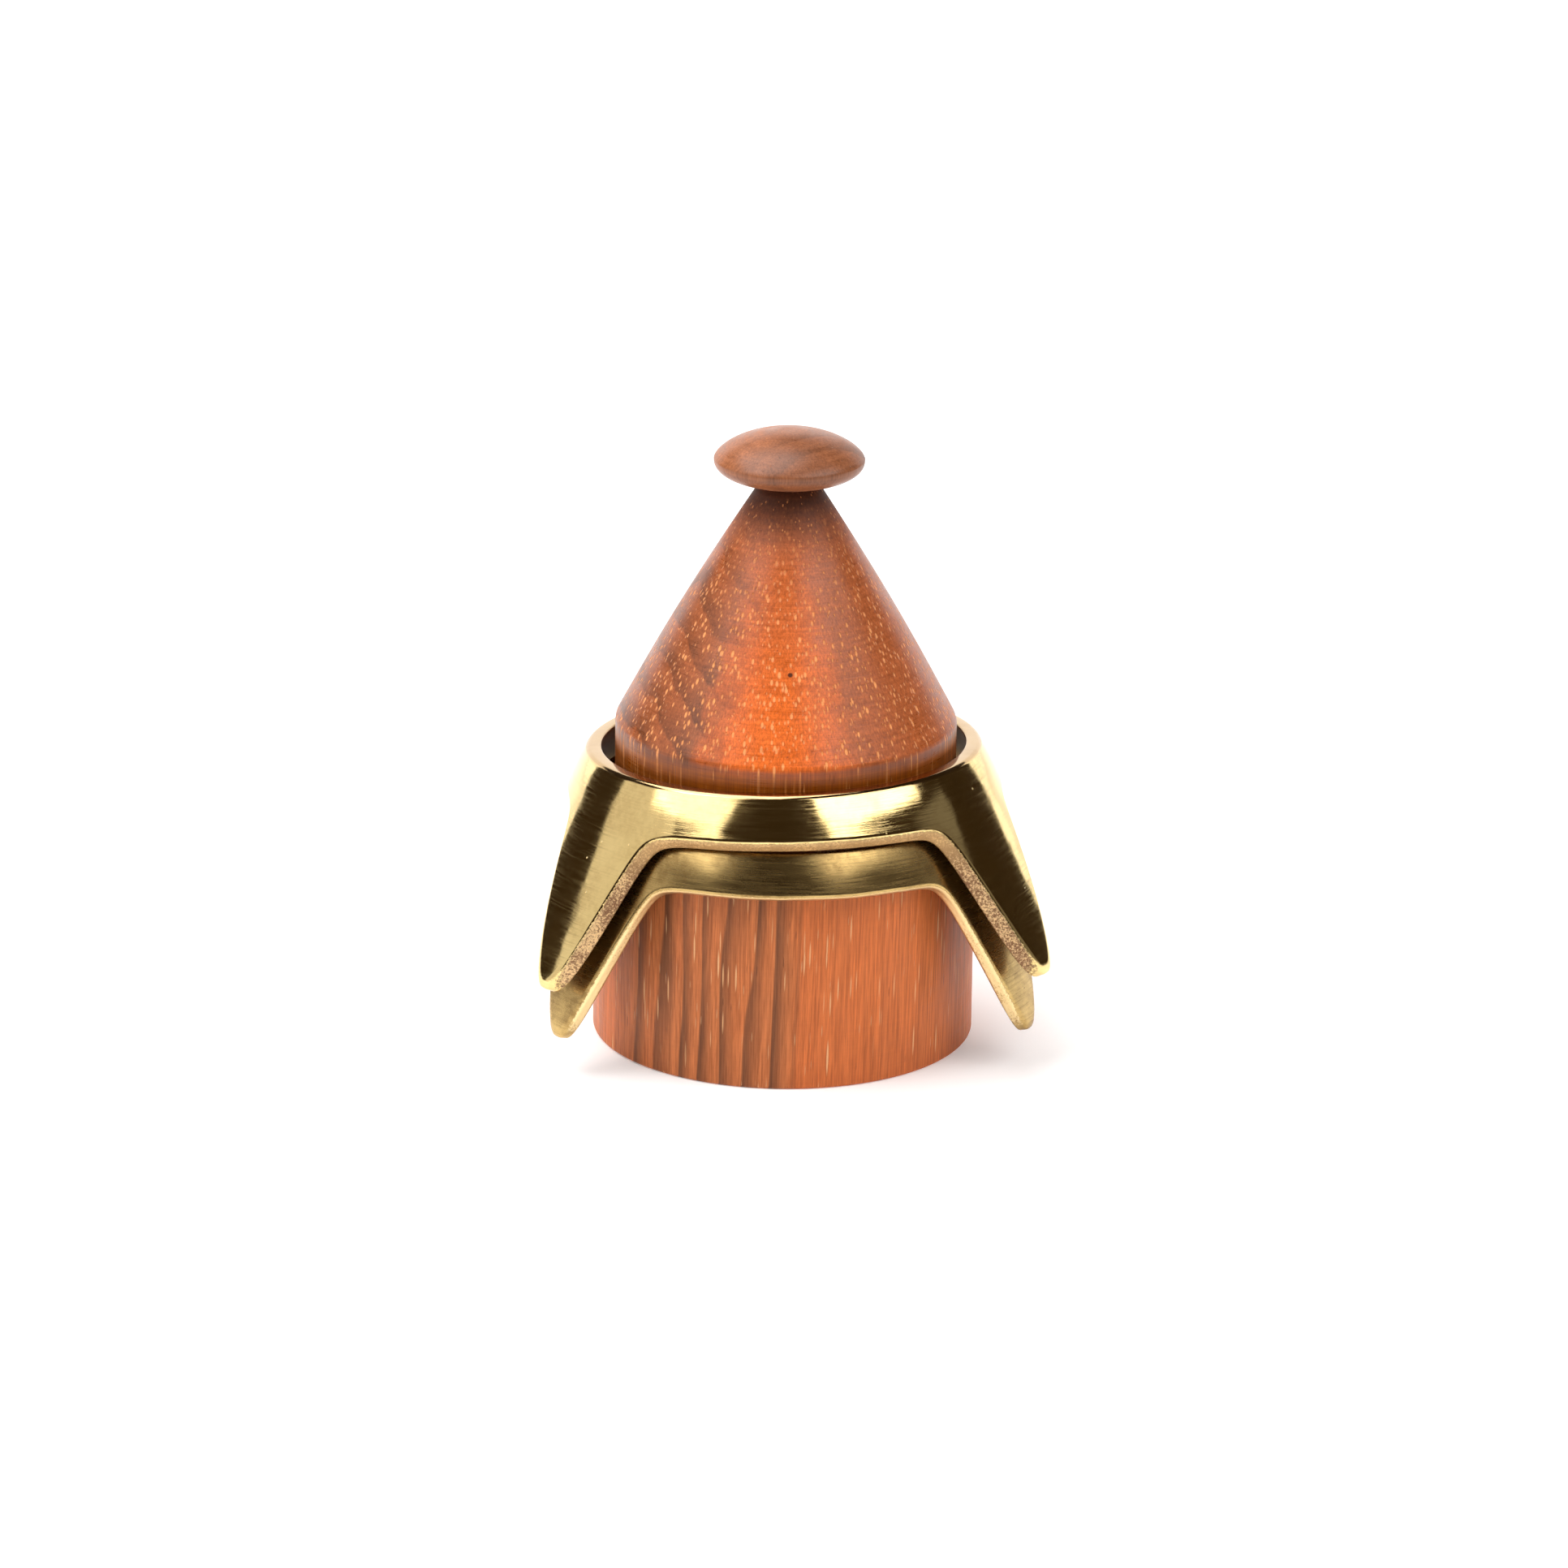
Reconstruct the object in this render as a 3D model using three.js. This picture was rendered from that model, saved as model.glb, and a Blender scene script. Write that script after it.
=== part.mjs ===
// A lidded pot turned in hardwood, with two cast brass egg cups nested over it.
// Millimetres, +Z up, standing on the plane z = 0 with the pot's axis on the Z axis.
import * as THREE from "three";

// Pot: a plain cylinder with a round well.
const POT_RADIUS = 22;
const POT_HEIGHT = 26.4;
const POT_FOOT_BEVEL = 0.4;
const POT_SHOULDER_ROUND = 0.6;
const POT_WALL = 5.8;
const WELL_FLOOR = 4.6;
const WELL_CORNER = 1.4;

// Lid: a spigot that plugs the well, a short upright skirt and a slightly full cone.
const LEDGE = 2.4; // how far the pot's shoulder stands out past the skirt
const SKIRT_HEIGHT = 11;
const SPIGOT_PLAY = 0.3;
const SPIGOT_LENGTH = 5;
const HOLLOW_DEPTH = 1.1; // dish turned in the spigot's end
const HOLLOW_RIM = 3;
const CONE_HEIGHT = 28.1;
const CONE_FULLNESS = 0.45; // how far the side stands out from a straight cone

// Knob: a thin mushroom with a tenon glued into the lid.
const KNOB_RADIUS = 8.6;
const KNOB_CROWN = 3.3;
const KNOB_BELLY = 2.7;
const KNOB_SEAT_RADIUS = 3.3;
const TENON_RADIUS = 2;
const TENON_LENGTH = 7;
const TENON_PLAY = 0.05;
const GLUE_ROOM = 0.5; // below the tenon's end

// Egg cup: a ring that flares into three legs.
const MOUTH_PLAY = 1.2; // between the skirt and a cup's mouth
const RIM_ROUND = 0.4;
const BAND_DEPTH = 5; // from the rim to the crown of an arch
const LEG_COUNT = 3;
const LEG_SLOPE = 1.3; // how much deeper a leg's side runs for each degree towards its middle
const LEG_TIP_ANGLE = 2.6; // half the width of a leg at its rounded end, in degrees
const ARCH_CORNER = 4.2;

// The two castings differ a little in length, flare, thickness and how their edges were filed.
const LOWER_CUP = {
  legDepth: 24.4, // from the rim to the end of a leg
  flare: 0.5, // how fast the wall widens below the rim
  curl: 0.005, // how far it straightens again towards the legs' ends
  rimWall: 1.7, // measured level, as the growth is
  wallGrowth: 0.004, // wall gained for each millimetre below the rim
  lip: 0.7, // how much lower the inner edge ends than the outer one
  spread: 0.4, // how much wider the inner edge is, in degrees
};
const UPPER_CUP = {
  legDepth: 23.6,
  flare: 0.51,
  curl: 0.0018,
  rimWall: 1.7,
  wallGrowth: 0.008,
  lip: 1.3,
  spread: 1.6,
};
const SEAT_PLAY = 0.3; // between the pot's shoulder and the lower cup
const NEST_PLAY = 0.3; // between the cups, measured level
const LOWER_TURN = 5;
const UPPER_TURN = 4;
const UPPER_LEAN_SIDE = 1.4; // right side up
const UPPER_LEAN_FRONT = 2.3; // front up
const ROCK_DEPTH = 10; // below the rim, the point a leaning cup turns about

const TURNED_SIDES = 72;
const CAST_SIDES = 96;
const WALL_STEPS = 5;

const WELL_RADIUS = POT_RADIUS - POT_WALL;
const SPIGOT_RADIUS = WELL_RADIUS - SPIGOT_PLAY;
const SKIRT_RADIUS = POT_RADIUS - LEDGE;
const MOUTH_RADIUS = SKIRT_RADIUS + MOUTH_PLAY;
const LID_SEAT_Z = POT_HEIGHT;
const CONE_FOOT_Z = LID_SEAT_Z + SKIRT_HEIGHT;
const KNOB_SEAT_Z = CONE_FOOT_Z + CONE_HEIGHT;

const rad = THREE.MathUtils.degToRad;
const point = (r, z) => new THREE.Vector2(r, z);

// Points on a quarter circle or any other arc, from one angle to another in degrees.
function arc(r, z, radius, from, to, steps = 4) {
  return Array.from({ length: steps + 1 }, (_, i) => {
    const angle = rad(from + ((to - from) * i) / steps);
    return point(r + radius * Math.cos(angle), z + radius * Math.sin(angle));
  });
}

function turned(profile) {
  return new THREE.LatheGeometry(profile, TURNED_SIDES).rotateX(Math.PI / 2);
}

function pot() {
  const shoulder = POT_SHOULDER_ROUND;
  return turned([
    point(0, 0),
    point(POT_RADIUS - POT_FOOT_BEVEL, 0),
    point(POT_RADIUS, POT_FOOT_BEVEL),
    ...arc(POT_RADIUS - shoulder, POT_HEIGHT - shoulder, shoulder, 0, 90),
    point(WELL_RADIUS, POT_HEIGHT),
    ...arc(WELL_RADIUS - WELL_CORNER, WELL_FLOOR + WELL_CORNER, WELL_CORNER, 0, -90),
    point(0, WELL_FLOOR),
  ]);
}

// The cone's radius at a share of its height.
function coneRadius(up) {
  const straight = THREE.MathUtils.lerp(SKIRT_RADIUS, KNOB_SEAT_RADIUS, up);
  return straight + CONE_FULLNESS * Math.sin(Math.PI * up);
}

function cone(steps = 9) {
  return Array.from({ length: steps + 1 }, (_, i) =>
    point(coneRadius(i / steps), CONE_FOOT_Z + (CONE_HEIGHT * i) / steps),
  );
}

function lid() {
  const bottom = LID_SEAT_Z - SPIGOT_LENGTH;
  const bore = TENON_RADIUS + TENON_PLAY;
  const boreFloor = KNOB_SEAT_Z - TENON_LENGTH - GLUE_ROOM;
  return turned([
    point(0, bottom + HOLLOW_DEPTH),
    point(SPIGOT_RADIUS * 0.45, bottom + HOLLOW_DEPTH * 0.8),
    point(SPIGOT_RADIUS - HOLLOW_RIM, bottom),
    point(SPIGOT_RADIUS - 0.4, bottom),
    point(SPIGOT_RADIUS, bottom + 0.4),
    point(SPIGOT_RADIUS, LID_SEAT_Z),
    point(SKIRT_RADIUS - 0.3, LID_SEAT_Z),
    point(SKIRT_RADIUS, LID_SEAT_Z + 0.3),
    ...cone(),
    point(bore, KNOB_SEAT_Z),
    point(bore, boreFloor),
    point(0, boreFloor),
  ]);
}

function knob(steps = 7) {
  const middle = KNOB_SEAT_Z + KNOB_BELLY;
  const belly = Array.from({ length: steps }, (_, i) => {
    const r = THREE.MathUtils.lerp(KNOB_SEAT_RADIUS, KNOB_RADIUS, Math.sin((Math.PI / 2) * (i / steps)));
    const rise = (1 - (r / KNOB_RADIUS) ** 2) / (1 - (KNOB_SEAT_RADIUS / KNOB_RADIUS) ** 2);
    return point(r, middle - KNOB_BELLY * rise ** 0.41);
  });
  const crown = Array.from({ length: steps + 1 }, (_, i) => {
    const r = KNOB_RADIUS * Math.cos((Math.PI / 2) * (i / steps));
    return point(i === steps ? 0 : r, middle + KNOB_CROWN * (1 - (r / KNOB_RADIUS) ** 2) ** 0.67);
  });
  return turned([
    point(0, KNOB_SEAT_Z - TENON_LENGTH),
    point(TENON_RADIUS, KNOB_SEAT_Z - TENON_LENGTH),
    point(TENON_RADIUS, KNOB_SEAT_Z),
    ...belly,
    ...crown,
  ]);
}

// Radii of a cup's wall at a depth below its rim.
const inside = (cup, depth) => MOUTH_RADIUS + (cup.flare - cup.wallGrowth) * depth - cup.curl * depth ** 2;
const outside = (cup, depth) => inside(cup, depth) + cup.rimWall + cup.wallGrowth * depth;

// Depth at which the inside of a cup has widened to a radius.
function depthWhere(cup, radius) {
  const widening = cup.flare - cup.wallGrowth;
  const room = widening ** 2 - 4 * cup.curl * (radius - MOUTH_RADIUS);
  return (widening - Math.sqrt(room)) / (2 * cup.curl);
}

// Depth of a cup's lower edge, at an angle in degrees from the middle of the nearest leg.
function edgeDepth(cup, angle) {
  const fromTip = Math.hypot(angle, LEG_TIP_ANGLE) - LEG_TIP_ANGLE;
  const leg = cup.legDepth - BAND_DEPTH - LEG_SLOPE * fromTip;
  return BAND_DEPTH + (leg + Math.hypot(leg, ARCH_CORNER)) / 2;
}

// Outline of a cup's wall at one angle: up the outside, over the rim and down the inside.
function cupSection(cup, angle) {
  const outerEdge = edgeDepth(cup, angle);
  const innerEdge = edgeDepth(cup, Math.max(Math.abs(angle) - cup.spread, 0)) + cup.lip;
  const steps = Array.from({ length: WALL_STEPS + 1 }, (_, i) => i / WALL_STEPS);
  const down = (edge, radius) => (share) => {
    const depth = RIM_ROUND + (edge - RIM_ROUND) * share;
    return point(radius(cup, depth), -depth);
  };
  const section = [
    ...steps.map(down(outerEdge, outside)).reverse(),
    point(outside(cup, 0) - RIM_ROUND, 0),
    point(inside(cup, 0) + RIM_ROUND, 0),
    ...steps.map(down(innerEdge, inside)),
  ];
  return [...section, section[0]];
}

// Crowds the sections of a cup towards the middle of each leg, where its edge turns fastest.
function castAngle(side) {
  const sector = 360 / LEG_COUNT;
  const turn = (side * 360) / CAST_SIDES;
  const leg = (Math.floor(turn / sector) + 0.5) * sector;
  const across = (turn - leg) / (sector / 2);
  const fromLeg = (sector / 2) * (0.34 * across + 0.66 * across ** 3);
  return { fromLeg, round: rad(leg + fromLeg) };
}

function eggCup(cup) {
  const shell = new THREE.LatheGeometry(cupSection(cup, 0), CAST_SIDES);
  const position = shell.getAttribute("position");
  const perSection = position.count / (CAST_SIDES + 1);
  for (let side = 0; side <= CAST_SIDES; side++) {
    const { fromLeg, round } = castAngle(side % CAST_SIDES);
    cupSection(cup, fromLeg).forEach(({ x: r, y: z }, i) =>
      position.setXYZ(side * perSection + i, r * Math.sin(round), z, r * Math.cos(round)),
    );
  }
  return shell.rotateX(Math.PI / 2);
}

const WOOD = { color: 0xa9602f, roughness: 0.45 };
const KNOB_WOOD = { color: 0x8f5230, roughness: 0.4 };
const BRASS = { color: 0xd2a84a, roughness: 0.25, metalness: 1 };

function piece(name, geometry, finish) {
  const mesh = new THREE.Mesh(geometry, new THREE.MeshStandardMaterial(finish));
  mesh.name = name;
  return mesh;
}

const potMesh = piece("pot", pot(), WOOD);
const lidMesh = piece("lid", lid(), WOOD);
const knobMesh = piece("knob", knob(), KNOB_WOOD);

// Rim height of the cup on the pot: seated on the shoulder, or on its legs if they are longer.
function lowerRimZ() {
  const shoulder = POT_HEIGHT - POT_SHOULDER_ROUND + depthWhere(LOWER_CUP, POT_RADIUS + SEAT_PLAY);
  return Math.max(shoulder, edgeDepth(LOWER_CUP, 0) + LOWER_CUP.lip);
}

// How much higher one cup's rim stands than the rim of the cup it is nested over and may lean on.
function nestRise(under, over, lean) {
  const rises = [0, under.legDepth / 2, under.legDepth].map((depth) => {
    const radius = outside(under, depth);
    const level = depthWhere(over, radius + NEST_PLAY);
    const swing = rad(lean) * Math.abs(level - ROCK_DEPTH + radius * over.flare);
    return depthWhere(over, radius + NEST_PLAY + swing) - depth;
  });
  return Math.max(...rises);
}

// Stands a cup with its rim at a height, turned and leaning.
function stand(cup, rimZ, turn, leanSide = 0, leanFront = 0) {
  const rock = new THREE.Vector3(0, 0, rimZ - ROCK_DEPTH);
  cup.rotation.set(rad(-leanFront), rad(-leanSide), rad(turn));
  cup.position.set(0, 0, ROCK_DEPTH).applyEuler(cup.rotation).add(rock);
  return cup;
}

const lowerCup = stand(piece("lower_egg_cup", eggCup(LOWER_CUP), BRASS), lowerRimZ(), LOWER_TURN);
const upperCup = stand(
  piece("upper_egg_cup", eggCup(UPPER_CUP), BRASS),
  lowerRimZ() + nestRise(LOWER_CUP, UPPER_CUP, Math.hypot(UPPER_LEAN_SIDE, UPPER_LEAN_FRONT)),
  UPPER_TURN,
  UPPER_LEAN_SIDE,
  UPPER_LEAN_FRONT,
);

export default new THREE.Group().add(potMesh, lidMesh, knobMesh, lowerCup, upperCup);
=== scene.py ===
# %% [markdown]
# # A salt pot with two egg cups nested over it
#
# A turned hardwood pot stands on the table. Its conical lid has a thin knob, and two cast brass
# egg cups, each a ring on three legs, are dropped over the lid and nest one on the other.
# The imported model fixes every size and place, so we load it first and keep its box:
# whatever we model must stay inside it.

# %% Load the fixed frame
from math import atan2, cos, exp, hypot, pi, radians, sin

import bmesh
import bpy
from mathutils import Matrix, Vector, noise


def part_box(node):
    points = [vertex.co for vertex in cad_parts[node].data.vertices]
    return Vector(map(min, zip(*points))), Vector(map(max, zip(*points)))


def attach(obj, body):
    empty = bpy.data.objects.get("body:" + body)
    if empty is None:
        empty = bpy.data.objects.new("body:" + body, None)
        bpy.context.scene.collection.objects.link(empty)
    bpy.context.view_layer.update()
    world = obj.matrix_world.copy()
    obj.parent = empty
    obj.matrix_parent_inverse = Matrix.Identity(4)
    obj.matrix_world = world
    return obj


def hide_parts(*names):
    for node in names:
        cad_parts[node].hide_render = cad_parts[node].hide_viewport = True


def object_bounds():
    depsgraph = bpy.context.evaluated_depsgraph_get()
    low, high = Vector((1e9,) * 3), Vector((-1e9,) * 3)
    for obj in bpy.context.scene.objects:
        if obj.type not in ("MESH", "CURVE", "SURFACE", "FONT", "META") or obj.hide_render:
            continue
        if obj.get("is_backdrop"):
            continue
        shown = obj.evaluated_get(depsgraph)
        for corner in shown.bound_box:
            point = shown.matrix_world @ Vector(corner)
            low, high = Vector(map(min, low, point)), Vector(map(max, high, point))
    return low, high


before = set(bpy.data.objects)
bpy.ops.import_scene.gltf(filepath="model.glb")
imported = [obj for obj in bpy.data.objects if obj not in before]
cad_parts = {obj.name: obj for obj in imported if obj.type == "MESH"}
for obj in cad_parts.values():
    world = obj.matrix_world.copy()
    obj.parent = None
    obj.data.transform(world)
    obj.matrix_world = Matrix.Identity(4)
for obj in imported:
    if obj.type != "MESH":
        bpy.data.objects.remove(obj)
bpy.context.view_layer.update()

# %% [markdown]
# ## Turning on a lathe
#
# The pot, the lid and the knob were all turned. A round body could be a primitive cylinder or
# cone, but a lathe works from a profile, and so does Blender's spin operator: we draw half the
# outline once and carry it round the axis. Sharp rings are rounded afterwards with a bevel, as
# a turner breaks an arris with fine paper. All sizes are written in millimetres.

# %% Spin a profile and round its rings
MM = 0.001
TURNED_SIDES = 160
potwood_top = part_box("pot")[1].z / MM
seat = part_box("lid")[1].z / MM


def new_piece(name, shaped):
    """Makes the shaped bmesh an object with smooth faces that all look outwards."""
    bmesh.ops.remove_doubles(shaped, verts=shaped.verts, dist=1e-7)
    bmesh.ops.recalc_face_normals(shaped, faces=shaped.faces)
    mesh = bpy.data.meshes.new(name)
    for face in shaped.faces:
        face.smooth = True
    shaped.to_mesh(mesh)
    shaped.free()
    piece = bpy.data.objects.new(name, mesh)
    bpy.context.scene.collection.objects.link(piece)
    return piece


def on_ring(vert, r, z):
    off = max(abs(hypot(vert.co.x, vert.co.y) / MM - r), abs(vert.co.z / MM - z))
    return off < 0.01


def turn(name, profile, rounded):
    """Spins (radius, height) points, then rounds the rings given as (radius, height, size)."""
    shaped = bmesh.new()
    points = [shaped.verts.new((r * MM, 0, z * MM)) for r, z in profile]
    outline = [shaped.edges.new(pair) for pair in zip(points, points[1:])]
    bmesh.ops.spin(shaped, geom=points + outline, cent=(0, 0, 0), axis=(0, 0, 1), dvec=(0, 0, 0),
                   angle=2 * pi, steps=TURNED_SIDES, use_merge=True, use_duplicate=False)
    bmesh.ops.remove_doubles(shaped, verts=shaped.verts, dist=1e-7)
    for r, z, size in rounded:
        ring = [e for e in shaped.edges if all(on_ring(v, r, z) for v in e.verts)]
        bmesh.ops.bevel(shaped, geom=ring, offset=size * MM, segments=6, profile=0.5,
                        affect="EDGES", material=-1, clamp_overlap=True)
    piece = new_piece(name, shaped)
    print(name, "faces:", len(piece.data.polygons))
    return piece


# %% [markdown]
# ## The pot
#
# The pot is a plain cylinder with a round-bottomed well for the salt. Its foot and its shoulder
# are only just broken, which is why the outline looks crisp. The well is bored in the same spin,
# so the wall is one closed body with real thickness.

# %% Turn the pot
POT_RADIUS = 22
WELL_RADIUS = 16.2
WELL_FLOOR = 4.6

pot = turn(
    "turned_pot",
    [(0, 0), (POT_RADIUS, 0), (POT_RADIUS, 9), (POT_RADIUS, 18), (POT_RADIUS, potwood_top),
     (WELL_RADIUS, potwood_top), (WELL_RADIUS, WELL_FLOOR), (0, WELL_FLOOR)],
    [(POT_RADIUS, 0, 0.4), (POT_RADIUS, potwood_top, 0.6), (WELL_RADIUS, potwood_top, 0.35),
     (WELL_RADIUS, WELL_FLOOR, 1.4)],
)

# %% [markdown]
# ## The lid
#
# Under the lid a short spigot drops into the well and keeps it centred. Above it stands an
# upright skirt, and above the skirt a cone whose side is a touch fuller than straight, the way
# a cone comes off a lathe when it is sanded with the hand. We write that fullness as a sine
# over the straight taper. The spigot's end is slightly dished, and a blind bore at the top takes
# the knob's tenon.

# %% Turn the lid
SPIGOT_RADIUS = WELL_RADIUS - 0.3
SKIRT_RADIUS = 19.6
CONE_FOOT = potwood_top + 11
NECK_RADIUS = 3.3
CONE_FULLNESS = 0.45
CONE_STEPS = 26
BORE_RADIUS = 2.05
BORE_DEPTH = 7.5
spigot_end = potwood_top - 5


def cone_radius(up):
    return SKIRT_RADIUS + (NECK_RADIUS - SKIRT_RADIUS) * up + CONE_FULLNESS * sin(pi * up)


cone = [(cone_radius(i / CONE_STEPS), CONE_FOOT + (seat - CONE_FOOT) * i / CONE_STEPS)
        for i in range(CONE_STEPS + 1)]
lid = turn(
    "turned_lid",
    [(0, spigot_end + 1.1), (SPIGOT_RADIUS * 0.45, spigot_end + 0.88),
     (SPIGOT_RADIUS - 3, spigot_end), (SPIGOT_RADIUS, spigot_end), (SPIGOT_RADIUS, potwood_top),
     (SKIRT_RADIUS, potwood_top), *cone,
     (BORE_RADIUS, seat), (BORE_RADIUS, seat - BORE_DEPTH), (0, seat - BORE_DEPTH)],
    [(SPIGOT_RADIUS, spigot_end, 0.4), (SKIRT_RADIUS, potwood_top, 0.3),
     (SKIRT_RADIUS, CONE_FOOT, 0.45)],
)

# %% [markdown]
# ## The knob
#
# The knob is a thin mushroom: a shallow crown, a rounded rim and an undercut belly that runs
# down to the neck. One power curve gives each half. Both meet upright at the widest ring, so
# the rim is round with no bevel. The tenon below is glued into the lid.

# %% Turn the knob
KNOB_RADIUS = 8.6
KNOB_BELLY = 2.7
KNOB_CROWN = 3.3
TENON_RADIUS = 2
TENON_DEPTH = 7
waist = seat + KNOB_BELLY


def belly(r):
    share = (1 - (r / KNOB_RADIUS) ** 2) / (1 - (NECK_RADIUS / KNOB_RADIUS) ** 2)
    return waist - KNOB_BELLY * max(share, 0) ** 0.41


def crown(r):
    return waist + KNOB_CROWN * max(1 - (r / KNOB_RADIUS) ** 2, 0) ** 0.67


under = [NECK_RADIUS + (KNOB_RADIUS - NECK_RADIUS) * sin(pi / 2 * i / 22) for i in range(22)]
over = [KNOB_RADIUS * cos(pi / 2 * i / 34) for i in range(34)] + [0]
knob = turn(
    "turned_knob",
    [(0, seat - TENON_DEPTH), (TENON_RADIUS, seat - TENON_DEPTH), (TENON_RADIUS, seat)]
    + [(r, belly(r)) for r in under] + [(r, crown(r)) for r in over],
    [(TENON_RADIUS, seat - TENON_DEPTH, 0.3)],
)

# %% [markdown]
# ## The egg cups
#
# Each cup is a casting: a ring that flares downwards and is cut into three legs by broad arches.
# Boolean cuts would leave ragged corners, so we draw the wall's section flat, with its corners
# already rounded, spin it to a plain ring, and then move every point to its place on the casting.
# A few plain rules give the shape: how the wall widens with depth, and how deep its lower edge
# reaches at each angle from the middle of a leg. The buffing wheel leaves the band under the rim
# 0.15 mm full, which is enough to bend what it mirrors.

# %% The casting's rules
MOUTH_RADIUS = SKIRT_RADIUS + 1.2
BAND_DEPTH = 5
LEG_SLOPE = 1.3
TIP_ANGLE = 2.9
ARCH_CORNER = 4.2
BAND_FULLNESS = 0.15
FULLEST_DEPTH = 2.2

LOWER = dict(leg=24.4, flare=0.5, curl=0.005, wall=1.7, growth=0.004, lip=0.7, spread=0.4,
             seed=3.1)
UPPER = dict(leg=23.6, flare=0.51, curl=0.0018, wall=1.7, growth=0.008, lip=1.3, spread=1.6,
             seed=8.7)


def inner_radius(cup, depth):
    return MOUTH_RADIUS + (cup["flare"] - cup["growth"]) * depth - cup["curl"] * depth**2


def outer_radius(cup, depth):
    full = BAND_FULLNESS * exp(-(((depth - FULLEST_DEPTH) / 2.4) ** 2))
    return inner_radius(cup, depth) + cup["wall"] + cup["growth"] * depth + full


def edge_depth(cup, angle):
    """Depth of the lower edge at an angle in degrees from the middle of a leg."""
    from_tip = (abs(angle) ** 3 + TIP_ANGLE**3) ** (1 / 3) - TIP_ANGLE
    leg = cup["leg"] - BAND_DEPTH - LEG_SLOPE * from_tip
    return BAND_DEPTH + (leg + hypot(leg, ARCH_CORNER)) / 2


print("edge of the upper cup at 0, 20, 40 and 60 degrees from a leg:",
      [round(edge_depth(UPPER, a), 1) for a in (0, 20, 40, 60)])

# %% [markdown]
# The flat section is a small grid face stood upright. Its height of 3 is a code, not a length:
# the top and bottom millimetres stay true, so the rounded corners keep their size everywhere,
# and only the stretch between them grows or shrinks with the arches. The spin makes the ring,
# and its sides are then crowded towards the legs, where the edge turns fastest.

# %% Draw the section and spin it
CAST_SIDES = 384
FLAT_RING = 10.0
FLAT_HEIGHT = 3
RIM_ROUNDING = 0.36
EDGE_ROUNDING = 0.5


def plain_ring(wall):
    ring = bmesh.new()
    bmesh.ops.create_grid(ring, x_segments=1, y_segments=1, size=0.5)
    bmesh.ops.scale(ring, vec=(wall, FLAT_HEIGHT, 1), verts=ring.verts)
    bmesh.ops.rotate(ring, cent=(0, 0, 0), matrix=Matrix.Rotation(pi / 2, 3, "X"),
                     verts=ring.verts)
    bmesh.ops.translate(ring, vec=(FLAT_RING + wall / 2, 0, -FLAT_HEIGHT / 2), verts=ring.verts)
    for level, size in ((0, RIM_ROUNDING), (-FLAT_HEIGHT, EDGE_ROUNDING)):
        corners = [v for v in ring.verts if abs(v.co.z - level) < 0.01]
        bmesh.ops.bevel(ring, geom=corners, offset=size, segments=5, profile=0.5,
                        affect="VERTICES", material=-1, clamp_overlap=True)
    bmesh.ops.delete(ring, geom=ring.faces[:], context="FACES_ONLY")
    tall = [e for e in ring.edges if e.calc_length() > 1.5]
    low = [e for e in ring.edges if all(abs(v.co.z + FLAT_HEIGHT) < 0.01 for v in e.verts)]
    bmesh.ops.subdivide_edges(ring, edges=tall, cuts=35)
    bmesh.ops.subdivide_edges(ring, edges=low, cuts=6)
    print("points in the flat section:", len(ring.verts))
    bmesh.ops.spin(ring, geom=ring.verts[:] + ring.edges[:], cent=(0, 0, 0), axis=(0, 0, 1),
                   dvec=(0, 0, 0), angle=2 * pi, steps=CAST_SIDES, use_merge=True,
                   use_duplicate=False)
    return ring


def crowded(turned):
    """Degrees round from the front, and from the nearest leg, for an evenly spun angle."""
    leg = (turned // 120 + 0.5) * 120
    across = (turned - leg) / 60
    from_leg = 60 * (0.34 * across + 0.66 * across**3)
    return leg + from_leg, from_leg


print("crowded sides between leg and arch:",
      [round(crowded(60 + a)[1], 1) for a in (0, 15, 30, 45, 59)])

# %% [markdown]
# Each point of the plain ring now finds its place. The filed lower edge is never quite true, so
# a slow noise and a finer one take up to two tenths of a millimetre off it. The edge also slopes:
# it lies a little lower on the inside than on the outside, and less so at the tips of the legs.
# While we know where a point is on the casting, we note it in two attributes: `filed` on the
# lower edge and `inside` on the hidden face. A UV map unrolls the wall in metres, so that
# scratches can follow the metal.

# %% Shape a cup
SLOW_WEAR = 0.16
FINE_WEAR = 0.05
TIP_WEAR = 0.25
UNROLLED_RADIUS = 25


def true_depth(flat, edge, stretch):
    """Depth below the rim for a height in the flat section, whose end millimetres stay true."""
    if flat > -1:
        return -flat
    if flat < 1 - FLAT_HEIGHT:
        return edge - (FLAT_HEIGHT + flat) * stretch
    return 1 + (edge - 1 - stretch) * (-flat - 1)


def cast_place(cup, through, flat, degrees, from_leg):
    around = Vector((cos(radians(degrees)), sin(radians(degrees)), 0)) * 3.2
    seed = Vector((0, 0, cup["seed"]))
    worn = SLOW_WEAR * (0.5 + 0.5 * noise.noise(around + seed))
    worn += FINE_WEAR * (0.5 + 0.5 * noise.noise(around * 5 + seed))
    tip = exp(-((from_leg / 5) ** 2))
    aside = max(abs(from_leg) - cup["spread"] * (1 - 0.6 * tip), 0)
    slope = (edge_depth(cup, abs(from_leg)) - edge_depth(cup, abs(from_leg) + 1)) / 0.5
    steep = hypot(1, slope) + 1.2 * tip
    lip = cup["lip"] * (1 - 0.7 * tip)
    outer_deep = true_depth(flat, edge_depth(cup, from_leg) - worn - TIP_WEAR * tip, steep)
    inner_deep = true_depth(flat, edge_depth(cup, aside) + lip - worn, steep)
    inner, outer = inner_radius(cup, inner_deep), outer_radius(cup, outer_deep)
    radius = inner + (outer - inner) * through
    return radius, -(inner_deep + (outer_deep - inner_deep) * through)


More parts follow.
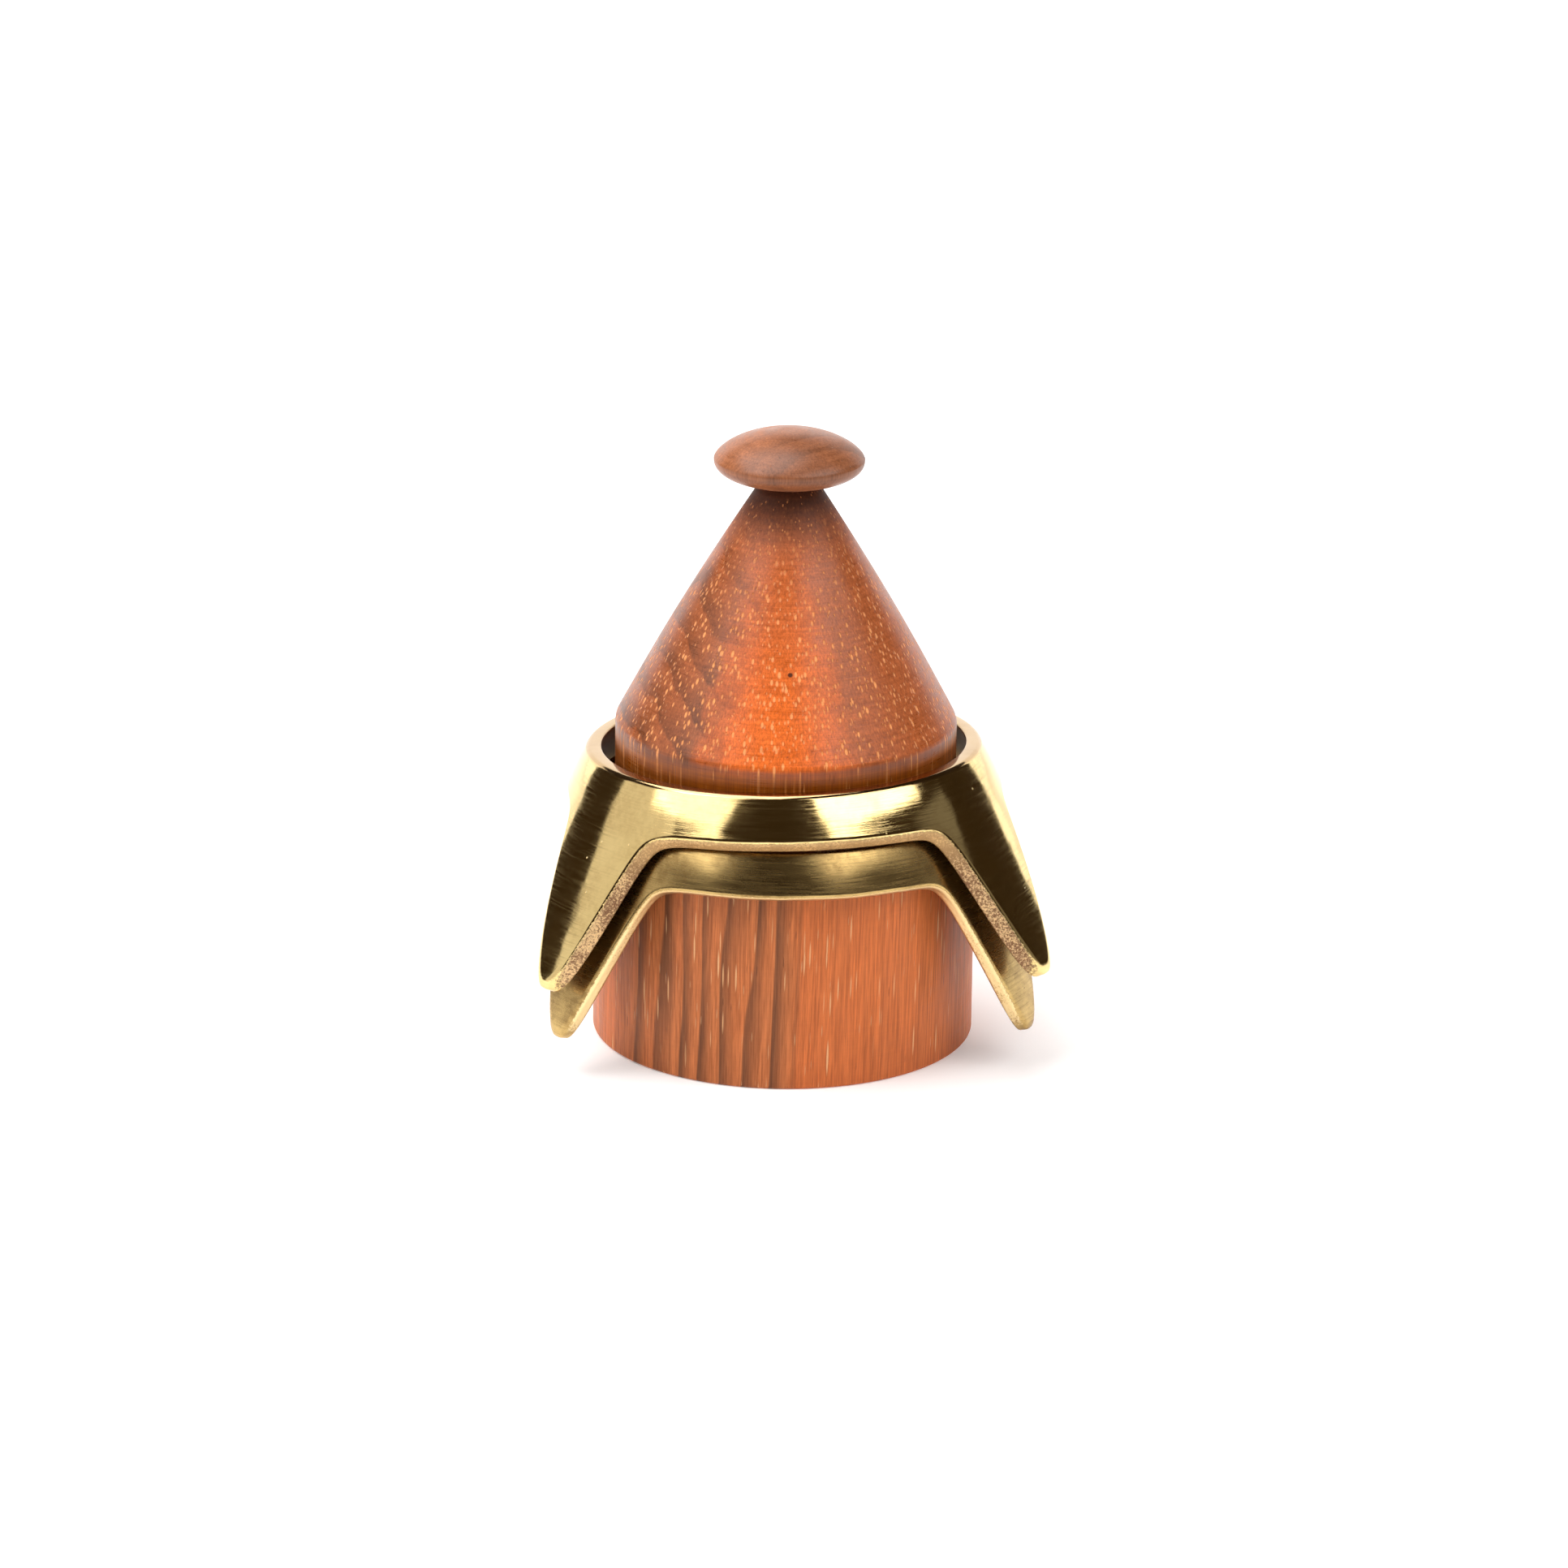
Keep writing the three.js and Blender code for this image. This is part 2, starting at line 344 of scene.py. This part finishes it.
def cast_cup(name, cup, stand):
    shaped = plain_ring(cup["wall"])
    filed = shaped.verts.layers.float.new("filed")
    inside = shaped.verts.layers.float.new("inside")
    unrolled = {}
    for v in shaped.verts:
        through = (hypot(v.co.x, v.co.y) - FLAT_RING) / cup["wall"]
        flat = v.co.z
        degrees, from_leg = crowded((180 / pi * atan2(v.co.x, -v.co.y)) % 360)
        radius, height = cast_place(cup, through, flat, degrees, from_leg)
        beside_tip = 1 - exp(-((from_leg / 4.5) ** 2))
        v[filed] = min(max((-flat - 2.7) / 0.26, 0), 1) * beside_tip
        v[inside] = min(max(1 - through * 5, 0), 1)
        unrolled[v] = (degrees, -height)
        v.co = (radius * MM * sin(radians(degrees)), -radius * MM * cos(radians(degrees)),
                height * MM)
    skin = shaped.loops.layers.uv.new("unrolled")
    for face in shaped.faces:
        seam = max(unrolled[v][0] for v in face.verts) > 300
        for corner in face.loops:
            degrees, deep = unrolled[corner.vert]
            degrees += 360 if seam and degrees < 60 else 0
            corner[skin].uv = (radians(degrees) * UNROLLED_RADIUS * MM, deep * MM)
    shaped.transform(stand)
    piece = new_piece(name, shaped)
    print(name, "faces:", len(piece.data.polygons))
    return piece


# %% [markdown]
# Both cups rest at a chance turn. The upper one has tipped back and to one side until it touched
# the cup below, as nested cups do, so it is tilted about a point a little below its rim.

# %% Stand the cups
LOWER_RIM = 28.922
UPPER_RIM = 34.334
ROCK_DEPTH = 10


def standing(rim, turned, side=0, front=0):
    tilt = (Matrix.Rotation(radians(-front), 4, "X") @ Matrix.Rotation(radians(-side), 4, "Y")
            @ Matrix.Rotation(radians(turned), 4, "Z"))
    lift = Matrix.Translation((0, 0, (rim - ROCK_DEPTH) * MM))
    return lift @ tilt @ Matrix.Translation((0, 0, ROCK_DEPTH * MM))


lower_cup = cast_cup("cast_lower_cup", LOWER, standing(LOWER_RIM, 5))
upper_cup = cast_cup("cast_upper_cup", UPPER, standing(UPPER_RIM, 4, side=1.4, front=2.3))

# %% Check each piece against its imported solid
PIECES = {
    "pot": (pot, "pot", "pot_wood"),
    "lid": (lid, "lid", "lid_wood"),
    "knob": (knob, "lid", "knob_wood"),
    "lower_egg_cup": (lower_cup, "lower_cup", "lower_brass"),
    "upper_egg_cup": (upper_cup, "upper_cup", "upper_brass"),
}
for node, (piece, body, slot) in PIECES.items():
    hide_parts(node)
    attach(piece, body)
    low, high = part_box(node)
    corners = [Vector(c) for c in piece.bound_box]
    inside_by = [min(c[i] for c in corners) - low[i] for i in range(3)]
    inside_by += [high[i] - max(c[i] for c in corners) for i in range(3)]
    print(node, "stays inside its solid's box by mm:", [round(d / MM, 2) for d in inside_by])

# %% [markdown]
# ## A short way to write a finish
#
# A finish is a tree of shader nodes. Writing each node and link in full hides the idea, so this
# small helper adds a node, feeds its sockets and hands back its result. Patterns read the
# object's own coordinates in metres, so a Mapping node first turns them to millimetres.

# %% The finish helper
class Finish:
    def __init__(self, name):
        self.material = bpy.data.materials.new(name)
        self.material.use_nodes = True
        self.tree = self.material.node_tree
        self.skin = self.tree.nodes["Principled BSDF"]
        self.place = self.tree.nodes.new("ShaderNodeTexCoord")

    def add(self, kind, feeds, result=0, **settings):
        made = self.tree.nodes.new("ShaderNode" + kind)
        for setting, value in settings.items():
            setattr(made, setting, value)
        for socket, value in feeds.items():
            self.feed(made.inputs[socket], value)
        return made.outputs[result]

    def feed(self, socket, value):
        if isinstance(value, bpy.types.NodeSocket):
            self.tree.links.new(value, socket)
        else:
            socket.default_value = value

    def mapped(self, source, scale, turned=(0, 0, 0), moved=(0, 0, 0)):
        return self.add("Mapping", {"Vector": source, "Scale": scale, "Rotation": turned,
                                    "Location": moved})

    def noise(self, where, scale, detail=2.0, roughness=0.5):
        return self.add("TexNoise", {"Vector": where, "Scale": scale, "Detail": detail,
                                     "Roughness": roughness})

    def sum(self, operation, a, b=0.0, clamp=False):
        return self.add("Math", {0: a, 1: b}, operation=operation, use_clamp=clamp)

    def fade(self, value, start, end, low=0.0, high=1.0):
        return self.add("MapRange", {"Value": value, "From Min": start, "From Max": end,
                                     "To Min": low, "To Max": high})

    def blend(self, share, a, b, mode="MIX"):
        made = self.tree.nodes.new("ShaderNodeMix")
        made.data_type, made.blend_type = "RGBA", mode
        for socket, value in ((0, share), (6, a), (7, b)):
            self.feed(made.inputs[socket], value)
        return made.outputs[2]

    def relief(self, height, depth, under=None):
        feeds = {"Height": height, "Distance": depth * MM, "Strength": 1.0}
        if under:
            feeds["Normal"] = under
        return self.add("Bump", feeds)


def colour(red, green, blue):
    return (red, green, blue, 1.0)


# %% [markdown]
# ## Teak
#
# Teak is orange-brown with darker growth rings and countless open vessels. The vessels run along
# the grain, filled with a pale deposit: where the lathe leaves a surface along the grain they show
# as long dashes, and where it cuts across, as on the cone, as dots. We get both from one pattern:
# a solid Voronoi texture stretched along the grain, so each cell holds one thin spindle and the
# surface cuts it however it lies. The rings are distances from the pith of the tree, some
# centimetres outside the piece, folded into steps with a slow noise to keep them from being true.
# Browner heartwood begins at one distance from the piece's axis and, on the pot, ends at another.

# %% The teak recipe
TO_MM = (1000, 1000, 1000)


def teak(name, facing, pith, light, dark, ring_width, contrast, dark_from, dark_to,
         dark_until=90.0, lean=(0.0, 0.0), colour_and_light=None, **surface):
    """facing is the direction, in degrees from the front towards the right, in which rings grow."""
    f = Finish(name)
    grain = f.mapped(f.place.outputs["Object"], TO_MM,
                     (radians(lean[0]), radians(lean[1]), radians(90 - facing)))
    slow = f.noise(f.mapped(grain, (0.06, 0.06, 0.012)), 1.0, 2.0)
    x, y = (f.add("SeparateXYZ", {"Vector": grain}, result=i) for i in range(2))
    from_pith = f.add("VectorMath", {0: f.add("CombineXYZ", {"X": f.sum("ADD", x, pith), "Y": y})},
                      result="Value", operation="LENGTH")
    wavy = f.sum("ADD", from_pith, f.fade(slow, 0.3, 0.7, -1.6, 1.6))
    fine_wave = f.noise(f.mapped(grain, (0.5, 0.5, 0.05)), 1.0, 2.0)
    wavy = f.sum("ADD", wavy, f.fade(fine_wave, 0.3, 0.7, -0.16, 0.16))
    ring = f.sum("FRACT", f.sum("DIVIDE", wavy, ring_width))
    late = f.sum("MULTIPLY", f.fade(ring, 0.3, 0.85), f.fade(ring, 1.0, 0.93))

    from_axis = f.sum("SUBTRACT", wavy, pith)
    brown = f.sum("MULTIPLY", f.fade(from_axis, dark_from, dark_to),
                  f.fade(from_axis, dark_until, dark_until + 3, 1.0, 0.25))
    patches = f.noise(f.mapped(grain, (0.16, 0.16, 0.03), moved=(7, 3, 1)), 1.0, 3.0)
    brown = f.sum("MULTIPLY", brown, f.fade(patches, 0.3, 0.6, 0.55, 1.0), clamp=True)
    wood = f.blend(f.sum("ADD", brown, f.fade(patches, 0.45, 0.75, 0.0, 0.3), clamp=True),
                   colour(*light), colour(*dark))
    line = f.sum("MULTIPLY", late, f.fade(brown, 0.0, 1.0, 0.07, contrast))
    wood = f.blend(line, wood, colour(0.36 * dark[0], 0.40 * dark[1], 0.48 * dark[2]))
    if colour_and_light:
        wood = colour_and_light(f, wood)
    fibres = f.noise(f.mapped(grain, (4.5, 4.5, 0.12)), 1.0, 3.0, 0.7)
    wood = f.blend(1.0, wood, f.blend(f.fade(fibres, 0.34, 0.66), colour(0.70, 0.64, 0.58),
                                      colour(1.20, 1.18, 1.16)), mode="MULTIPLY")
    return finish_teak(f, grain, wood, ring, **surface)


# %% [markdown]
# The vessels, pores and lathe marks go on last. Each Voronoi cell also has a random colour, which
# lets us keep only some of the cells, and more of them just inside a ring line, where teak is
# most porous. The pale vessels are slightly sunk and duller than the wood between them. Sanding
# on the lathe leaves hair-fine lines round the piece: a noise squeezed along the axis. The pale
# vessels fade out towards the top of the lid and on the knob, and they are fainter on the lid's
# upright skirt.

# %% Vessels, pores and lathe marks
def spindles(f, grain, width, length, thickness, share):
    """A mask of thin spindles along the grain, and a random value for each of them."""
    where = f.mapped(grain, (1 / width, 1 / width, 1 / length))
    cell = f.tree.nodes.new("ShaderNodeTexVoronoi")
    f.feed(cell.inputs["Vector"], where)
    f.feed(cell.inputs["Scale"], 1.0)
    random = f.add("SeparateColor", {"Color": cell.outputs["Color"]})
    size = f.sum("MULTIPLY", f.fade(random, 0.0, 1.0, 0.6, 1.15), thickness / width)
    mask = f.fade(f.sum("DIVIDE", cell.outputs["Distance"], size), 1.0, 0.55)
    kept = f.fade(f.sum("SUBTRACT", random, share), 0.02, -0.02)
    return f.sum("MULTIPLY", mask, kept, clamp=True), random


SKIRT_FADE = 0.4
SKIRT_HIDES = 0.62


def skirt_share(f, height):
    """How much of the vessels' mask is left at a height: less on the lid's upright skirt."""
    low, high = (f.fade(height, (edge - SKIRT_FADE) * MM, (edge + SKIRT_FADE) * MM)
                 for edge in (potwood_top + 3, CONE_FOOT - 0.6))
    return f.sum("SUBTRACT", 1.0, f.sum("MULTIPLY", f.sum("SUBTRACT", low, high), SKIRT_HIDES))


def finish_teak(f, grain, wood, ring, vessel, vessel_share, vessel_gap=0.64, vessel_width=0.21,
                vessel_glow=0.9, gloss=0.44, varnish=0.4, lathe_marks=1.0, dull_neck=0.0):
    off_line = f.sum("ABSOLUTE", f.sum("SUBTRACT", ring, 0.12))
    porous = f.fade(off_line, 0.0, 0.5, vessel_share * 1.25, vessel_share * 0.7)
    pale, tone = spindles(f, grain, vessel_gap, 8.0, vessel_width, porous)
    height = f.add("SeparateXYZ", {"Vector": f.place.outputs["Object"]}, result=2)
    pale = f.sum("MULTIPLY", pale, f.fade(height, (seat - 3) * MM, (seat - 15) * MM, 0.12, 1.0))
    pale = f.sum("MULTIPLY", pale, skirt_share(f, height))
    small, _ = spindles(f, f.mapped(grain, (1, 1, 1), moved=(5.3, 2.1, 4.0)), 0.50, 6.0,
                        0.57 * vessel_width, vessel_share)
    pores, _ = spindles(f, f.mapped(grain, (1, 1, 1), moved=(1.7, 9.4, 2.2)), 0.55, 7.0, 0.085, 0.4)
    strength = f.fade(tone, 0.0, vessel_share, 0.6 * vessel_glow, vessel_glow)
    flecks = f.sum("MULTIPLY", pale, strength, clamp=True)
    wood = f.blend(f.sum("MULTIPLY", pores, 0.5), wood, colour(0.07, 0.022, 0.008))
    wood = f.blend(f.sum("MULTIPLY", small, 0.55 * vessel_glow), wood, colour(*vessel))
    wood = f.blend(flecks, wood, colour(*vessel))

    round_lines = f.mapped(f.place.outputs["Object"], (90, 90, 3400))
    lathe = f.noise(round_lines, 1.0, 4.0, 0.7)
    wood = f.blend(lathe_marks, wood, f.blend(f.fade(lathe, 0.35, 0.65), colour(0.84, 0.81, 0.78),
                                              colour(1.10, 1.10, 1.10)), mode="MULTIPLY")
    f.skin.inputs["Specular IOR Level"].default_value = varnish
    f.feed(f.skin.inputs["Base Color"], wood)
    cloud = f.noise(f.mapped(grain, (0.3, 0.3, 0.1)), 1.0, 3.0)
    dull = f.sum("ADD", f.fade(cloud, 0.3, 0.7, gloss - 0.05, gloss + 0.07),
                 f.sum("MULTIPLY", flecks, 0.22))
    dull = f.sum("ADD", dull, f.fade(height, (seat - 8) * MM, (seat - 3) * MM, 0.0, dull_neck))
    f.feed(f.skin.inputs["Roughness"], f.sum("ADD", dull, f.fade(lathe, 0.3, 0.7, -0.05, 0.06)))
    marks = f.relief(lathe, 0.005 + 0.015 * lathe_marks)
    sunk = f.relief(f.sum("ADD", flecks, f.sum("ADD", small, pores)), -0.04, marks)
    f.feed(f.skin.inputs["Normal"], sunk)
    return f


# %% [markdown]
# Each turned piece came from its own blank, so each gets its own growth direction, its own
# distance from the pith and slightly different colours. The pot is striped on the left and plain
# on the right. The lid's rings face the left, where they open into long curves on the cone.

# %% Finish the wood
OPEN_PORE = (0.4, -14.4, 47.0)


def lid_colour_and_painted_light(f, wood):
    """Paints a highlight down the front, brass glow on the amber skirt, a shadow line under the
    cone's foot, shade under the knob, and one open pore.
    """
    place = f.mapped(f.place.outputs["Object"], TO_MM)
    x, y, z = (f.add("SeparateXYZ", {"Vector": place}, result=i) for i in range(3))
    flat = f.add("VectorMath", {0: f.add("CombineXYZ", {"X": x, "Y": y})}, operation="NORMALIZE")
    # Painted highlight: a warm glow down the side of the cone that faces the camera, brightest low
    # down, stands in for a broad sheen of light.
    front = f.add("VectorMath", {0: flat, 1: (-0.07, -0.9975, 0)}, result="Value",
                  operation="DOT_PRODUCT")
    glow_edge_wobble = f.noise(f.mapped(place, (0.5, 0.5, 0.12)), 1.0, 2.0)
    front = f.sum("ADD", front, f.fade(glow_edge_wobble, 0.3, 0.7, -0.03, 0.03))
    front_glow_painted = f.sum("MULTIPLY", f.fade(front, 0.86, 0.99), f.fade(z, 62, 44))
    wood = f.blend(f.sum("MULTIPLY", front_glow_painted, 0.85), wood, colour(0.86, 0.170, 0.022))
    # Painted glow: the amber on the skirt stands in for the warm light that the brass around it
    # throws on it.
    skirt = f.fade(z, CONE_FOOT - 0.2, CONE_FOOT - 1.2, 0.0, 0.93)
    wood = f.blend(skirt, wood, colour(0.31, 0.078, 0.004))
    # Painted shadow: a dark line just under the cone's rounded foot, the shade cast by its arris.
    arris_shadow_offset = f.sum("ABSOLUTE", f.sum("SUBTRACT", z, CONE_FOOT - 0.5))
    wood = f.blend(f.fade(arris_shadow_offset, 0.75, 0.1, 0.0, 0.5), wood, colour(0.13, 0.034, 0.009))
    # Painted shade: darker wood just under the knob, where the knob keeps the light off.
    knob_shade = f.fade(z, seat - 6.5, seat - 1.6, 0.0, 0.88)
    wood = f.blend(knob_shade, wood, colour(0.044, 0.013, 0.004))
    away = f.add("VectorMath", {0: place, 1: OPEN_PORE}, result="Value", operation="DISTANCE")
    return f.blend(f.fade(away, 0.34, 0.2, 0.0, 0.9), wood, colour(0.02, 0.008, 0.004))


pot_wood = teak(
    "pot_teak", facing=-118, pith=34, light=(0.64, 0.168, 0.044), dark=(0.55, 0.170, 0.054),
    ring_width=2.5, contrast=1.0, dark_from=-4.8, dark_to=-3.4, dark_until=12.5, lean=(1.2, -1.0),
    vessel=(0.86, 0.46, 0.22), vessel_share=0.66, vessel_gap=0.50, vessel_width=0.15,
    varnish=0.22, lathe_marks=0.15)
lid_wood = teak(
    "lid_teak", facing=-72, pith=40, light=(0.44, 0.112, 0.030), dark=(0.33, 0.096, 0.032),
    ring_width=2.2, contrast=0.7, dark_from=5.5, dark_to=10, colour_and_light=lid_colour_and_painted_light,
    vessel=(0.93, 0.36, 0.115), vessel_share=0.95, vessel_gap=0.53, vessel_glow=0.95,
    gloss=0.32, dull_neck=0.35)
knob_wood = teak(
    "knob_teak", facing=35, pith=48, light=(0.41, 0.143, 0.055), dark=(0.28, 0.100, 0.042),
    ring_width=3.4, contrast=0.35, dark_from=-2, dark_to=5,
    vessel=(0.60, 0.28, 0.13), vessel_share=0.25, vessel_glow=0.4, gloss=0.34)
for piece, wood in ((pot, pot_wood), (lid, lid_wood), (knob, knob_wood)):
    piece.data.materials.append(wood.material)
    print(piece.name, "has", len(wood.tree.nodes), "shader nodes")

# %% [markdown]
# ## Brass
#
# The outside of the cups was buffed, so it mirrors the room, with fine brushed lines in it. The
# filed lower edges are still rough from the mould and have gone purple-brown, with clean metal
# showing on the high spots and in the middle of the arches. The very lip of the rim is browner
# too, and the inside is dull and dark. All of this is one metal, so it is one material: the
# attributes we kept tell it where the casting was buffed, filed or left alone.

# %% The brass recipe
def brass(name, polish, tarnish, tarnish_share, edge_clean, edge_dark, edge_share, edge_sand,
          shine=0.08, brush=0.010):
    f = Finish(name)
    place = f.mapped(f.place.outputs["Object"], TO_MM)
    wall = f.mapped(f.add("UVMap", {}, uv_map="unrolled"), TO_MM)
    filed = f.add("Attribute", {}, result="Fac", attribute_name="filed")
    inside = f.add("Attribute", {}, result="Fac", attribute_name="inside")

    grain = f.noise(place, 3.2, 4.0, 0.65)
    ragged = f.sum("ADD", filed, f.fade(grain, 0.3, 0.7, -0.22, 0.22))
    rough_cast = f.fade(ragged, 0.38, 0.62)
    cloud = f.noise(place, 0.16, 4.0, 0.6)
    spots = f.noise(place, 1.1, 5.0, 0.7)
    lines = f.noise(f.mapped(wall, (0.16, 5, 1), (0, 0, radians(6))), 1.0, 4.0, 0.7)
    crossing = f.noise(f.mapped(wall, (0.14, 4, 1), (0, 0, radians(-58))), 1.0, 3.0, 0.65)
    streaks = f.sum("MULTIPLY", f.sum("ADD", lines, crossing), 0.5)
    stain = f.sum("MULTIPLY", f.fade(cloud, 0.4, 0.62), f.fade(spots, 0.4, 0.6, 0.5, 1.0))
    stain = f.sum("ADD", stain, f.fade(streaks, 0.48, 0.62, 0.0, 0.3), clamp=True)
    stain = f.sum("MULTIPLY", stain, tarnish_share)
    metal = f.blend(stain, colour(*polish), colour(*tarnish))

    middle = 0.56 - 0.12 * edge_share
    oxide = f.fade(f.noise(place, 0.21, 2.0), 0.35, 0.65, -0.07, 0.07)
    bumps = f.sum("ADD", f.noise(place, 4.2, 6.0, 0.75), oxide)
    high_spots = f.fade(bumps, middle - 0.05, middle + 0.05)
    cast = f.blend(high_spots, colour(*edge_dark), colour(*edge_clean))
    deep = f.add("SeparateXYZ", {"Vector": wall}, result=1)
    cast = f.blend(f.fade(deep, 11, 7, 0.0, 0.6), cast, colour(0.66, 0.43, 0.19))
    metal = f.blend(rough_cast, metal, cast)
    metal = f.blend(f.sum("MULTIPLY", inside, 0.9), metal, colour(0.20, 0.12, 0.055))
    metal = f.blend(f.fade(deep, 0.45, 0.2, 0.0, 0.8), metal, colour(0.44, 0.275, 0.135))
    f.feed(f.skin.inputs["Base Color"], metal)
    f.skin.inputs["Metallic"].default_value = 1.0

    dull = f.fade(streaks, 0.35, 0.65, shine - 0.04, shine + 0.07)
    dull = f.sum("ADD", dull, f.sum("MULTIPLY", stain, 0.10))
    dull = f.sum("MAXIMUM", dull, f.sum("MULTIPLY", rough_cast, 0.25 + 0.25 * edge_sand))
    f.feed(f.skin.inputs["Roughness"], f.sum("MAXIMUM", dull, f.sum("MULTIPLY", inside, 0.5)))

    waves = f.relief(f.noise(place, 0.2, 2.0, 0.45), 0.06)
    brushed = f.relief(streaks, brush, waves)
    pits = f.tree.nodes.new("ShaderNodeTexVoronoi")
    f.feed(pits.inputs["Vector"], place)
    f.feed(pits.inputs["Scale"], 0.62)
    rare = f.fade(f.add("SeparateColor", {"Color": pits.outputs["Color"]}), 0.22, 0.18)
    dents = f.sum("MULTIPLY", f.fade(pits.outputs["Distance"], 0.07, 0.03), rare)
    nicks = f.relief(dents, -0.05, brushed)
    sandy = f.relief(f.sum("MULTIPLY", grain, rough_cast), 0.16 * edge_sand, nicks)
    f.feed(f.skin.inputs["Normal"], sandy)
    return f


# %% [markdown]
# The lower cup is the more tarnished of the two, but its edge was filed cleaner. The upper cup
# is bright outside, and its rough edge is nearly all oxide.

# %% Finish the brass
lower_brass = brass(
    "lower_brass", polish=(0.58, 0.395, 0.15), tarnish=(0.25, 0.150, 0.052), tarnish_share=0.85,
    edge_clean=(0.90, 0.68, 0.34), edge_dark=(0.58, 0.38, 0.16), edge_share=1.4, edge_sand=0.35,
    shine=0.21, brush=0.004)
upper_brass = brass(
    "upper_brass", polish=(0.90, 0.67, 0.29), tarnish=(0.50, 0.31, 0.105), tarnish_share=0.4,
    edge_clean=(0.80, 0.55, 0.28), edge_dark=(0.25, 0.130, 0.070), edge_share=0.2, edge_sand=1.0)
for piece, metal in ((lower_cup, lower_brass), (upper_cup, upper_brass)):
    piece.data.materials.append(metal.material)
    print(piece.name, "has", len(metal.tree.nodes), "shader nodes")

# %% [markdown]
# ## The studio
#
# Polished brass shows its room, so the room matters as much as the metal: a white table, a pale
# backdrop far behind, a soft box and a dimmer card on each side, and a big soft light above. The
# side the viewer stands on is left dim, which draws the dark band down the middle of the brass.
# The table glows faintly, so that it stays white around the shadows.

# %% Table and lights
TABLE_GLOW = 0.22
LIGHTS_AIM = Vector((0, 0, 0.03))


def floor_finish():
    f = Finish("white_table")
    f.skin.inputs["Base Color"].default_value = colour(0.92, 0.92, 0.92)
    f.skin.inputs["Roughness"].default_value = 0.9
    f.skin.inputs["Emission Color"].default_value = colour(1, 1, 1)
    f.skin.inputs["Emission Strength"].default_value = TABLE_GLOW
    return f.material


table = bmesh.new()
bmesh.ops.create_grid(table, x_segments=1, y_segments=1, size=3.0)
floor = new_piece("white_table", table)
floor.data.materials.append(floor_finish())
floor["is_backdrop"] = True


def soft_box(name, round_to, up, distance, width, height, radiance):
    """A rectangular light. round_to is in degrees from the front towards the right."""
    lamp = bpy.data.lights.new(name, "AREA")
    lamp.shape, lamp.size, lamp.size_y = "RECTANGLE", width, height
    lamp.energy = radiance * pi * width * height
    light = bpy.data.objects.new(name, lamp)
    flat = distance * cos(radians(up))
    spot = Vector((flat * sin(radians(round_to)), -flat * cos(radians(round_to)),
                   distance * sin(radians(up))))
    light.location = spot + LIGHTS_AIM
    light.rotation_euler = (-spot).to_track_quat("-Z", "Y").to_euler()
    light.visible_camera = False
    bpy.context.scene.collection.objects.link(light)


soft_box("right_soft_box", 57, 46, 0.9, 0.90, 0.48, 3.3)
soft_box("left_soft_box", -61, 43, 0.9, 0.68, 0.53, 2.4)
soft_box("left_card", -85, 13, 0.8, 0.60, 0.50, 0.8)
soft_box("right_card", 88, 10, 0.8, 0.36, 0.34, 0.16)
soft_box("top_light", -108, 71, 1.25, 1.3, 1.1, 3.9)
soft_box("backdrop", 180, 12, 1.5, 3.1, 0.9, 1.5)

# %% [markdown]
# The room itself is a dim warm brown in reflections, and plain pale where the camera looks past
# the table.

# %% The room
world = bpy.data.worlds.new("room")
world.use_nodes = True
room, ties = world.node_tree.nodes, world.node_tree.links
dim = room["Background"]
dim.inputs["Color"].default_value = colour(0.034, 0.022, 0.011)
pale = room.new("ShaderNodeBackground")
pale.inputs["Color"].default_value = colour(1, 1, 1)
seen = room.new("ShaderNodeLightPath")
either = room.new("ShaderNodeMixShader")
ties.new(seen.outputs["Is Camera Ray"], either.inputs[0])
ties.new(dim.outputs[0], either.inputs[1])
ties.new(pale.outputs[0], either.inputs[2])
ties.new(either.outputs[0], room["World Output"].inputs[0])
bpy.context.scene.world = world
bpy.context.scene.view_settings.view_transform = "Standard"

# %% [markdown]
# ## The camera
#
# A long lens from a little above keeps the sides of the pot almost parallel and shows the rims as
# narrow ellipses. The camera is rolled by less than a degree.

# %% Place the camera
AIM = Vector((-0.00014, 0, 0.02922))
CAMERA_UP = 18.68
CAMERA_AWAY = 0.8408
CAMERA_ROLL = 0.75
FOCAL_LENGTH = 167.7

lens = bpy.data.cameras.new("camera")
lens.lens, lens.sensor_width = FOCAL_LENGTH, 36
camera = bpy.data.objects.new("camera", lens)
back = Vector((0, -cos(radians(CAMERA_UP)), sin(radians(CAMERA_UP))))
camera.matrix_world = (Matrix.Translation(AIM + back * CAMERA_AWAY)
                       @ Matrix.Rotation(radians(90 - CAMERA_UP), 4, "X")
                       @ Matrix.Rotation(radians(CAMERA_ROLL), 4, "Z"))
bpy.context.scene.collection.objects.link(camera)
bpy.context.scene.camera = camera
print("camera at", [round(c, 4) for c in camera.matrix_world.translation])

# %% [markdown]
# Last, we measure the box of what we modelled.

# %% Measure what we modelled
low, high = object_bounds()
